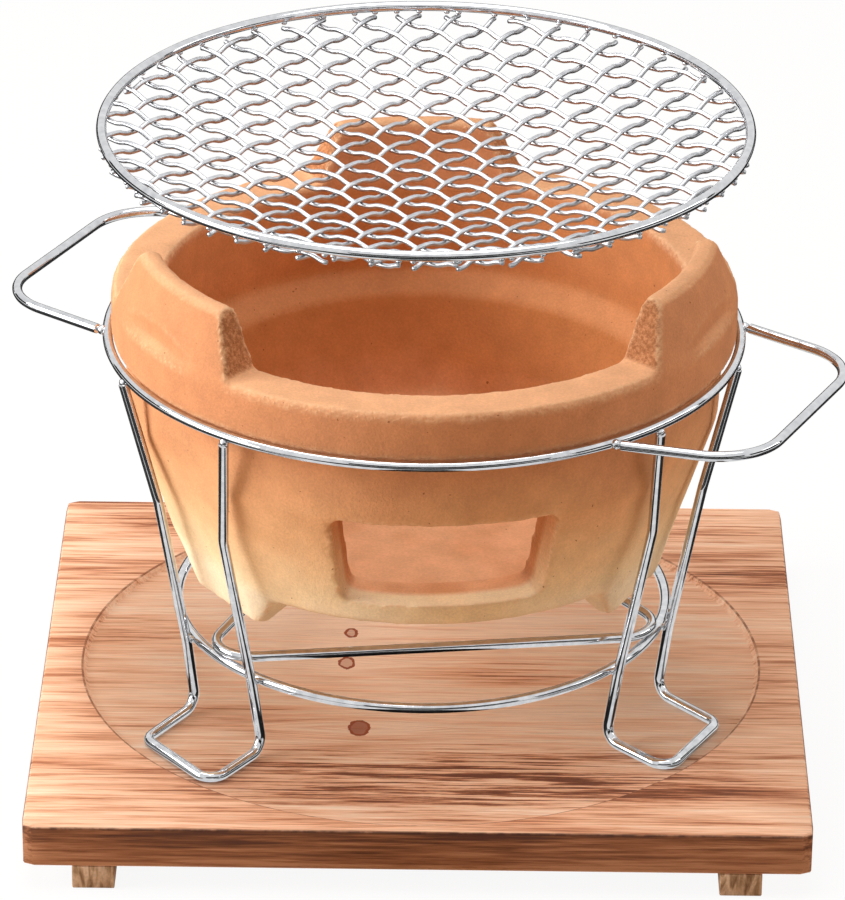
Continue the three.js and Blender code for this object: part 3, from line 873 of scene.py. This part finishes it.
def net_wire(kind, index, offset, chance):
    """One crimped wire of a set, from one side of the rim to the other."""
    reach = chord_reach(end_radius, offset)
    low, high = -reach - chance.uniform(-0.7, 0.3), reach + chance.uniform(-0.7, 0.3)
    count = max(8, round((high - low) / pitch * points_per_pitch))
    sway = chance.uniform(-sway_width, sway_width)
    over = 1 if (index + kind["over"]) % 2 == 0 else -1
    points = []
    for step in range(count + 1):
        place = low + (high - low) * step / count
        wave = math.cos(math.pi * (place / pitch - kind["across"]))
        crown = math.tanh(crown_squareness * wave) / math.tanh(crown_squareness)
        side = offset + sway * math.sin(place / sway_length)
        lift = over * shown_crimp * crown * (1 if abs(place) < reach - 1 else end_lift)
        points.append(placed(kind["turn"], place, side, dish(place, offset) + lift))
    return wire(points, shown_radius, sides=7)


print("wires in each set:", [len(wires_of(kind)) for kind in sets])

# %% [markdown]
# ### The two sets
#
# All wires of a set become one piece, which stands for all of its solids. The random numbers
# start from a fixed seed, so the net is the same each time.

# %% Weave the net
chance = random.Random(4)
for kind in sets:
    joined = bmesh.new()
    swap = bpy.data.meshes.new("one_wire")
    for index, offset in wires_of(kind):
        one = net_wire(kind, index, offset, chance)
        one.to_mesh(swap)
        one.free()
        joined.from_mesh(swap)
    bpy.data.meshes.remove(swap)
    in_place(joined, on_board)
    stands_for = [n for n in nodes if n.startswith("net_" + kind["name"])]
    piece("net_" + kind["name"], joined, net_chrome, "net", stands_for, smooth=180)

# %% [markdown]
# ### Rim of the net
#
# The rim is a hoop of the same 3.2 mm wire as the stand. It is the largest and nearest of
# the hoops, so it is spun in more steps.

# %% Net rim
shape = hoop(rim_radius, rim_wire, rim_height, steps=288, sides=16)
in_place(shape, on_board)
piece("net_rim_round", shape, chrome, "net", ["net_rim"])

# %% [markdown]
# ### Spot welds under the rim
#
# Every wire is welded to the rim at both ends. The nuggets are squashed a little, as the
# electrodes leave them.

# %% Spot welds under the rim
spot_size, spot_drop, spot_flat = 0.95, 0.2, (1.0, 1.0, 0.8)
spots = bmesh.new()
for kind in sets:
    for _, offset in wires_of(kind):
        for end in (-1, 1):
            reach = end * chord_reach(rim_radius, offset)
            spot = placed(kind["turn"], reach, offset, rim_height - rim_wire - spot_drop)
            nugget(spots, spot, spot_size, flat=spot_flat)
in_place(spots, on_board)
piece("net_welds", spots, weld_chrome, "net", smooth=180)

# %% [markdown]
# ## The clay bowl
#
# The bowl was pressed in a mould: a turned body with a collar, three lugs that carry the
# net, a draught opening at the front, and three flats that end in feet. A profile is spun
# round the axis, and small convex solids are joined to it and cut from it. A fine remesh
# then melts the joins together, and three rounds of smoothing take off the edges as the
# clay's own softness does. A little noise along the normals gives the grainy skin.


# %% Spun and convex shapes
def spun(profile, steps=180):
    """Spins a profile of (radius, height) pairs in mm about the axis."""
    shape = bmesh.new()
    line = [shape.verts.new((radius, 0, height)) for radius, height in profile]
    edges = [shape.edges.new(pair) for pair in zip(line, line[1:])]
    if profile[0][0] > 0:
        edges.append(shape.edges.new((line[-1], line[0])))
    return spun_round(shape, line + edges, steps)


def convex(points):
    """The convex solid round a few points."""
    shape = bmesh.new()
    corners_of = [shape.verts.new(p) for p in points]
    bmesh.ops.convex_hull(shape, input=corners_of)
    bmesh.ops.recalc_face_normals(shape, faces=shape.faces)
    return shape

# %% [markdown]
# ### Joining and cutting
#
# Boolean modifiers do what the mould and the cutting wire did. They need objects, so each
# shape becomes a working object, is used once and is removed.


# %% Joining and cutting
def raw(name, shape):
    """A working object that isn't part of the grill. It is removed after use."""
    mesh = bpy.data.meshes.new(name)
    shape.to_mesh(mesh)
    shape.free()
    made = bpy.data.objects.new(name, mesh)
    bpy.context.scene.collection.objects.link(made)
    return made


def carve(target, tool, operation):
    """Joins a working object to another, or cuts it away."""
    modifier = target.modifiers.new(operation.lower(), "BOOLEAN")
    modifier.operation = operation
    modifier.object = tool
    modifier.solver = "EXACT"
    bpy.context.view_layer.update()
    ready = target.evaluated_get(bpy.context.evaluated_depsgraph_get())
    mesh = bpy.data.meshes.new_from_object(ready)
    target.modifiers.clear()
    old = target.data
    target.data = mesh
    bpy.data.meshes.remove(old)
    bpy.data.objects.remove(tool)

# %% [markdown]
# ### Profile of the bowl
#
# The profile runs from the underside up the outside, over the rim and down the inside. The
# cone under the collar lies on the top hoop, so its place is worked out from the hoop.

# %% Sizes of the bowl
collar = 98.0
underside_radius, underside_height = 79.9, 53.0
waist_radius, waist_height = 92.9, 94.0
neck_radius, bowl_rim_height = 93.8, 133.5
ledge_radius, ledge_height = 84.0, 101.0
throat_radius, hearth_radius, hearth_height = 76.5, 67.0, 59.0
cone_rise = top_height - top_radius + math.sqrt(2) * (wire_radius + fit_gap)
profile = [
    (0, underside_height),
    (78.7, underside_height),
    (underside_radius, 54.2),
    (waist_radius, waist_height),
    (neck_radius, neck_radius + cone_rise),
    (collar, collar + cone_rise),
    (collar, 131.2),
    (97.3, 132.9),
    (96.0, bowl_rim_height),
    (83.5, bowl_rim_height),
    (82.3, 133.0),
    (82.0, 132.0),
    (ledge_radius, ledge_height),
    (78.1, 96.0),
    (throat_radius, 94.4),
    (hearth_radius, 63.0),
    (63.0, hearth_height),
    (0, hearth_height),
]
lug_azimuths = (-64, 64, 178)
pad_azimuths = (-58.5, 58.5, 180)
print("bowl:", 2 * collar, "mm across the collar,", len(profile), "points in its profile")

# %% [markdown]
# ### Lugs
#
# A lug is a sector of a taller ring, with ends that lean in. The ring is spun like the bowl,
# and a wedge keeps the sector that the cutting wire left.

# %% Lugs
lug_profile = [
    (83.5, 130.5),
    (97.9, 130.5),
    (97.6, 132.6),
    (91.2, 150.7),
    (89.6, 152.2),
    (88.4, 152.5),
    (86.0, 152.5),
    (84.4, 152.0),
    (83.6, 150.5),
    (82.0, 132.0),
    (82.4, 131.0),
]

wedge_ends = [(130.5, 22.3), (155.5, 15.7)]
wedge_radii = (79.0, 101.0)


def lug_wedge(azimuth):
    """The wedge between two heights, each with half the angle that the lug takes there."""
    points = []
    for height, half_angle in wedge_ends:
        turn = math.radians(half_angle)
        for radius in wedge_radii:
            for side in (-1, 1):
                aside = side * radius * math.sin(turn)
                points.append(placed(azimuth, radius * math.cos(turn), aside, height))
    return convex(points)


print("lugs:", len(lug_azimuths), "up to", max(height for _, height in lug_profile), "mm")

# %% [markdown]
# ### Flats
#
# Three flats lean as the wall does, and run down to the soles of the feet. Each is cut by a
# block that is the hull of its corners, so that its face lies just where it should.

# %% Flats
pad_low_half, pad_top_half = 15.5, 22.0
pad_top_height, pad_cut_half = 115.4, 44
sole_height = 42.0


def pad_reach(height):
    """How far out a flat is at a height."""
    low = chord_reach(underside_radius, pad_low_half)
    high = chord_reach(waist_radius, pad_top_half)
    return low + (high - low) * (height - underside_height) / (waist_height - underside_height)


def pad_block(azimuth):
    """The block that cuts a flat."""
    points = []
    for height in (sole_height, pad_top_height):
        for side in (-pad_cut_half, pad_cut_half):
            points.append(placed(azimuth, pad_reach(height), side, height))
            points.append(placed(azimuth, pad_reach(height) + collar, side, height))
    return convex(points)


low_reach = round(pad_reach(underside_height), 1)
print("flats:", len(pad_azimuths), "that are", low_reach, "mm from the axis at the underside")

# %% [markdown]
# ### Feet
#
# A foot hangs under each flat, and flares where it meets the underside. It is a hull too,
# given by the corners of one half and mirrored to the other.

# %% Feet
foot_root_height = 54.5
foot_side, foot_set_back, sole_depth, foot_flare, root_depth = 1.8, 1.5, 5.5, 9, 16


def foot_block(azimuth):
    """A foot, given by the corners of one half."""
    sole, root = pad_reach(sole_height), pad_reach(foot_root_height)
    wide = pad_low_half + foot_side
    flared = wide + foot_flare
    half = [
        (sole, pad_low_half, sole_height),
        (sole - foot_set_back, wide, sole_height),
        (sole - sole_depth, wide, sole_height),
        (root, pad_low_half, foot_root_height),
        (chord_reach(underside_radius, flared), flared, foot_root_height),
        (root - root_depth, flared, foot_root_height),
    ]
    points = []
    for reach, side, height in half:
        points += [placed(azimuth, reach, side, height), placed(azimuth, reach, -side, height)]
    return convex(points)


print("feet:", underside_height - sole_height, "mm high")

# %% [markdown]
# ### Draught opening
#
# The fire gets its air through an opening at the front. It narrows towards the fire, and
# its lower corners are round. Its block is the hull of two outlines, one outside the wall
# and one inside.

# %% Draught opening
vent_top_height, vent_sill_height = 93.0, 61.5
vent_top_half, vent_sill_half = 35.0, 33.5
vent_draft, vent_corner, corner_steps = 16, 3.5, 4
vent_reaches = (95.9, 55.0)


def vent_block():
    """The block that cuts the draught opening."""
    points = []
    face = chord_reach(waist_radius, vent_top_half)
    for reach in vent_reaches:
        inset = (face - reach) * math.tan(math.radians(vent_draft))
        for side in (-1, 1):
            points.append(Vector((side * (vent_top_half - inset), -reach, vent_top_height)))
            for step in range(corner_steps + 1):
                turn = math.pi / 2 * step / corner_steps
                x = vent_sill_half - inset - vent_corner * (1 - math.cos(turn))
                z = vent_sill_height + vent_corner * (1 - math.sin(turn))
                points.append(Vector((side * x, -reach, z)))
    return convex(points)


print("draught opening:", 2 * vent_top_half, "x", vent_top_height - vent_sill_height, "mm")

# %% [markdown]
# ### The bowl as one solid
#
# Each flat is cut before its foot is joined on. Then come the lugs, and last the opening,
# which is cut through the finished wall.

# %% Build the bowl from its solids
bowl = raw("bowl_blank", spun(profile))
for azimuth_of_pad in pad_azimuths:
    carve(bowl, raw("cutter", pad_block(azimuth_of_pad)), "DIFFERENCE")
    carve(bowl, raw("foot", foot_block(azimuth_of_pad)), "UNION")
for azimuth_of_lug in lug_azimuths:
    lug = raw("lug", spun(lug_profile))
    carve(lug, raw("wedge", lug_wedge(azimuth_of_lug)), "INTERSECT")
    carve(bowl, lug, "UNION")
carve(bowl, raw("vent", vent_block()), "DIFFERENCE")
print("bowl solid:", len(bowl.data.polygons), "faces")

# %% [markdown]
# ### One fine skin
#
# A voxel remesh forgets where the solids met, as pressed clay does. Its step is about as fine
# as the limit of 200,000 triangles for one piece allows. Its step is fine, 1.36 mm.

# %% Melt the joins into one fine skin
skin_step = 1.36
melt = bowl.modifiers.new("melt", "REMESH")
melt.mode = "VOXEL"
melt.voxel_size = skin_step
bpy.context.view_layer.update()
ready = bowl.evaluated_get(bpy.context.evaluated_depsgraph_get())
skin_mesh = bpy.data.meshes.new_from_object(ready)
skin = bmesh.new()
skin.from_mesh(skin_mesh)
bpy.data.objects.remove(bowl)
bpy.data.meshes.remove(skin_mesh)
print("bowl skin:", len(skin.verts), "points")

# %% [markdown]
# ### Rubbed edges
#
# Smoothing sinks a point far only where an edge is sharp, so how far each point sinks tells
# where the edges are. That number is kept on the mesh as `rubbed_edge`, and the clay
# material reads it.

# %% Smooth, and remember the edges
smoothing_rounds = 3
edge_start, edge_span = 0.07, 0.2
before = [v.co.copy() for v in skin.verts]
for _ in range(smoothing_rounds):
    bmesh.ops.smooth_vert(
        skin, verts=skin.verts, factor=0.5, use_axis_x=True, use_axis_y=True, use_axis_z=True
    )
skin.normal_update()
edge_layer = skin.verts.layers.float.new("rubbed_edge")
for vert, old in zip(skin.verts, before):
    moved = (old - vert.co).dot(vert.normal)
    vert[edge_layer] = max(0.0, min(1.0, (moved - edge_start) / edge_span))
print("edges found:", sum(1 for v in skin.verts if v[edge_layer] > 0.5), "points")

# %% [markdown]
# ### Grainy skin
#
# Noise along the normals gives slow swells of about 11 mm, grains of 2 mm and, at the rubbed
# edges only, chips of 3 mm. The whole skin is set back by a tenth of a millimetre, so the
# swells and grains rise from a little lower.

# %% Grainy skin
swell_rate, grain_rate, chip_rate = 0.09, 0.5, 0.31
swell, sand_height, edge_sand, chip_depth, set_back = 0.12, 0.05, 0.36, 0.9, 0.1
chip_shift, chip_level = Vector((7, 3, 5)), 0.25
for vert in skin.verts:
    edge = vert[edge_layer]
    soft = noise.noise(vert.co * swell_rate) * swell
    grain = noise.noise(vert.co * grain_rate) * (sand_height + edge_sand * edge)
    chipped = max(0.0, noise.noise(vert.co * chip_rate + chip_shift) - chip_level)
    vert.co += vert.normal * (soft + grain - chipped * chip_depth * edge - set_back)
in_place(skin, on_board)
piece("clay_bowl_skin", skin, clay, "bowl", ["clay_bowl"], smooth=180)

# %% [markdown]
# ## The board
#
# A 14 mm plank with softened edges and a shallow round recess that the stand's feet rest
# in. The recess floor is a circle. Its wall is extruded up and out, the top face is grown
# from there to the plank's outline, and the sides and the underside follow.

# %% Outline of the board
board_length, board_depth, board_thickness, board_corner = 242.0, 225.0, 14.0, 3.0


def on_outline(point, half_x, half_y, corner):
    """Where a ray from the middle meets the plank's outline with its round corners."""
    heading = Vector((point.x, point.y)).normalized()
    far = min(half_x / max(abs(heading.x), 1e-9), half_y / max(abs(heading.y), 1e-9))
    spot = heading * far
    inner_x, inner_y = half_x - corner, half_y - corner
    if abs(spot.x) > inner_x and abs(spot.y) > inner_y:
        hub = Vector((math.copysign(inner_x, spot.x), math.copysign(inner_y, spot.y)))
        spot = hub + (spot - hub).normalized() * corner
    return spot


print("board:", board_length, "x", board_depth, "x", board_thickness, "mm")

# %% [markdown]
# ### Recess and plank
#
# One closed surface is grown outwards ring by ring, so the wood has no seam between the
# recess and the face. The edges are softened by rings of their own, as by sandpaper.

# %% Recess and plank
recess_radius, wall_run = 108.8, 1.6
floor_height = board_top - recess_depth
plank = bmesh.new()
bmesh.ops.create_circle(
    plank,
    segments=288,
    radius=recess_radius - wall_run,
    cap_ends=True,
    cap_tris=False,
    matrix=Matrix.Translation((0, 0, floor_height)),
)
ring = list(plank.edges)
levels = [
    (recess_radius - wall_run * 0.45, floor_height + recess_depth * 0.45),
    (recess_radius - 0.25, board_top - 0.25),
    (recess_radius + 0.35, board_top),
]
for radius, height in levels:
    verts, ring = extruded(plank, ring)
    for vert in verts:
        flat = Vector((vert.co.x, vert.co.y)).normalized() * radius
        vert.co = Vector((flat.x, flat.y, height))
outline = [(1.0, 0.0), (0.35, 0.3), (0.0, 1.0)]
steps_down = [(inset, board_top - drop) for inset, drop in outline]
steps_down += [(inset, board_top - board_thickness + drop) for inset, drop in reversed(outline)]
for inset, height in steps_down:
    verts, ring = extruded(plank, ring)
    for vert in verts:
        half_x, half_y = board_length / 2 - inset, board_depth / 2 - inset
        spot = on_outline(vert.co, half_x, half_y, board_corner - inset)
        vert.co = Vector((spot.x, spot.y, height))
bmesh.ops.contextual_create(plank, geom=ring)
bmesh.ops.recalc_face_normals(plank, faces=plank.faces)
in_place(plank, Matrix.Identity(4))
plank_piece = piece("board_plank", plank, cedar, "base", ["board"], smooth=50)

# %% [markdown]
# ## The battens
#
# Two sawn strips under the board. A cube gets the strip's size, and a narrow bevel breaks
# its edges, as a pass with sandpaper does.

# %% Battens
batten_width, batten_height, batten_reach, sanded_edge = 13.0, 7.5, 99.2, 0.45
for name, side in (("batten_left", -1), ("batten_right", 1)):
    strip = bmesh.new()
    bmesh.ops.create_cube(strip, size=1.0)
    bmesh.ops.scale(strip, vec=(batten_width, board_depth, batten_height), verts=strip.verts)
    bmesh.ops.bevel(
        strip,
        geom=list(strip.edges),
        offset=sanded_edge,
        offset_type="OFFSET",
        segments=2,
        profile=0.5,
        affect="EDGES",
        material=-1,
    )
    middle = Matrix.Translation((side * batten_reach * mm, 0, batten_height / 2 * mm))
    in_place(strip, middle)
    piece(name + "_strip", strip, pine, "base", [name], smooth=50)

# %% [markdown]
# ## Floor, light and what the chrome sees
#
# The grill stands on a white studio sweep. A large soft lamp on the left is the key, a wide
# lamp above fills, a small low one lights the leaning wall from the front left, and a weak
# one from the right keeps the shaded side readable. Chrome needs something dark to reflect,
# or it would look like white plastic. Black cards all round give each wire its dark
# outline, and cards on the table put a dark streak beside each white one. Only reflections
# see the cards, and reflections look past the board, to keep the wires black and white.
# From here on, places and sizes are written in metres.

# %% Floor
# The floor is a hair below the battens, so that the two faces never share a plane.
floor_half_side, floor_drop = 6.0, 0.0002
white, add, _ = blank_material("white_studio_floor")
bounced = add("BsdfDiffuse", {"Color": "#c8b097"})
matte = add("BsdfDiffuse", {"Color": "#fafafa"})
bright = add("Emission", {"Color": "#ffffff", "Strength": 1.0})
shown = add("MixShader", {0: 0.92, 1: matte, 2: bright})
rays = add("LightPath", out=None)
seen = add(
    "Math",
    {0: rays.outputs["Is Camera Ray"], 1: rays.outputs["Is Transmission Ray"]},
    operation="MAXIMUM",
)
seen = add("Math", {0: seen, 1: rays.outputs["Is Glossy Ray"]}, operation="MAXIMUM")
add("OutputMaterial", {"Surface": add("MixShader", {0: seen, 1: bounced, 2: shown})})

ground = bmesh.new()
bmesh.ops.create_grid(ground, x_segments=1, y_segments=1, size=floor_half_side)
bmesh.ops.translate(ground, vec=(0, 0, -floor_drop), verts=ground.verts)
ground_mesh = bpy.data.meshes.new("studio_floor")
ground.to_mesh(ground_mesh)
ground.free()
ground_mesh.materials.append(white)
floor = bpy.data.objects.new("studio_floor", ground_mesh)
bpy.context.scene.collection.objects.link(floor)
print("floor:", 2 * floor_half_side, "m wide")

# %% [markdown]
# ### The room
#
# The room is white to the camera and in reflections, but lights the grill only weakly and
# warmly, as walls do. The lamps below give the shape its light and shade.

# %% World
room_light, room_seen = 0.32, 1.0
world = bpy.data.worlds.new("white_room")
bpy.context.scene.world = world
world.use_nodes = True
world.node_tree.nodes.clear()
add = partial(node, world.node_tree)
rays = add("LightPath", out=None)
seen = add(
    "Math",
    {0: rays.outputs["Is Camera Ray"], 1: rays.outputs["Is Glossy Ray"]},
    operation="MAXIMUM",
)
seen = add("Math", {0: seen, 1: rays.outputs["Is Transmission Ray"]}, operation="MAXIMUM")
strength = add("MapRange", {0: seen, 3: room_light, 4: room_seen})
tint = add("Mix", {0: seen, 6: "#ffdec0", 7: "#ffffff"}, out=2, data_type="RGBA")
add("OutputWorld", {"Surface": add("Background", {"Strength": strength, "Color": tint})})
print("room lights the grill at", room_light, "and shows at", room_seen)

# %% [markdown]
# ### Lamps
#
# Large rectangles give soft edges to the shadows. Each lamp is turned to face the grill.


# %% Lamps
def lamp(name, place, size, power, target=(0, 0, 0.09)):
    """A soft rectangular lamp that faces its target."""
    data = bpy.data.lights.new(name, "AREA")
    data.shape = "RECTANGLE"
    data.size, data.size_y = size
    data.energy = power
    made = bpy.data.objects.new(name, data)
    bpy.context.scene.collection.objects.link(made)
    away = (Vector(place) - Vector(target)).to_track_quat("Z", "Y").to_matrix().to_4x4()
    made.matrix_world = Matrix.Translation(Vector(place)) @ away
    print(name, "at", place, power, "W")


lamp("key_left", (-1.3, -0.14, 0.62), (0.8, 0.7), 19.5)
lamp("top_fill", (-0.1, 0.1, 1.25), (0.9, 0.9), 10)
lamp("low_left", (-1.05, -0.45, 0.2), (0.5, 0.3), 1.6)
lamp("right_fill", (1.25, 0.0, 0.42), (0.7, 0.6), 3.8)

# %% [markdown]
# ### Black velvet
#
# Photographers put black cards round chrome to draw its outline. Velvet has nearly no gloss.

# %% Black velvet
black, add, place = blank_material("black_card")
velvet = add("TexNoise", {"Vector": place, "Scale": 0.5})
velvet = add("ValToRGB", {0: velvet}, stops=[(0.3, "#0c0c0c"), (0.7, "#141414")])
add(
    "OutputMaterial",
    {"Surface": add("BsdfPrincipled", {"Base Color": velvet, "Roughness": 1.0})},
)
print("card finish:", black.name)

# %% [markdown]
# ### Cards
#
# Only reflections see the cards, so they throw no shadow on the grill and never show in the
# picture. The cards on the table lie flat beside, behind and in front of the board, and a
# narrow one lies partly under it. Reflections don't see the plank, or they would show it.


# %% Cards
def card(name, place, size, target=(0, 0, 0.1)):
    """A black card that faces its target, seen by reflections only."""
    shape = bmesh.new()
    bmesh.ops.create_grid(shape, x_segments=1, y_segments=1, size=0.5)
    bmesh.ops.scale(shape, vec=(size[0], size[1], 1), verts=shape.verts)
    mesh = bpy.data.meshes.new(name)
    shape.to_mesh(mesh)
    shape.free()
    mesh.materials.append(black)
    made = bpy.data.objects.new(name, mesh)
    bpy.context.scene.collection.objects.link(made)
    away = (Vector(place) - Vector(target)).to_track_quat("Z", "Y").to_matrix().to_4x4()
    made.matrix_world = Matrix.Translation(Vector(place)) @ away
    for rays_of in ("camera", "diffuse", "shadow", "transmission", "volume_scatter"):
        setattr(made, "visible_" + rays_of, False)
    print(name, "at", place)


def table_card(name, x, y, size):
    """A black card that lies flat on the table."""
    card(name, (x, y, 0.0004), size, target=(x, y, -1))


card("card_front", (0.2, -1.2, 0.3), (1.6, 0.5))
card("card_left", (-1.25, 0.5, 0.25), (0.9, 0.45))
card("card_right", (1.2, -0.2, 0.3), (1.4, 0.5))
card("card_back", (0.0, 1.2, 0.13), (2.4, 0.26))
table_card("table_card_left", -0.38, 0.12, (0.46, 0.66))
table_card("table_card_right", 0.38, 0.12, (0.46, 0.66))
table_card("table_card_back", 0.0, 0.66, (1.4, 1.0))
table_card("table_card_front", 0.0, -0.73, (0.9, 0.94))
table_card("table_card_middle", 0.0, -0.08, (0.06, 0.3))
plank_piece.visible_glossy = False

# %% [markdown]
# ### View
#
# The Standard view shows each colour as it was written, without a film curve.

# %% Picture settings
bpy.context.scene.view_settings.view_transform = "Standard"
print("view:", bpy.context.scene.view_settings.view_transform)
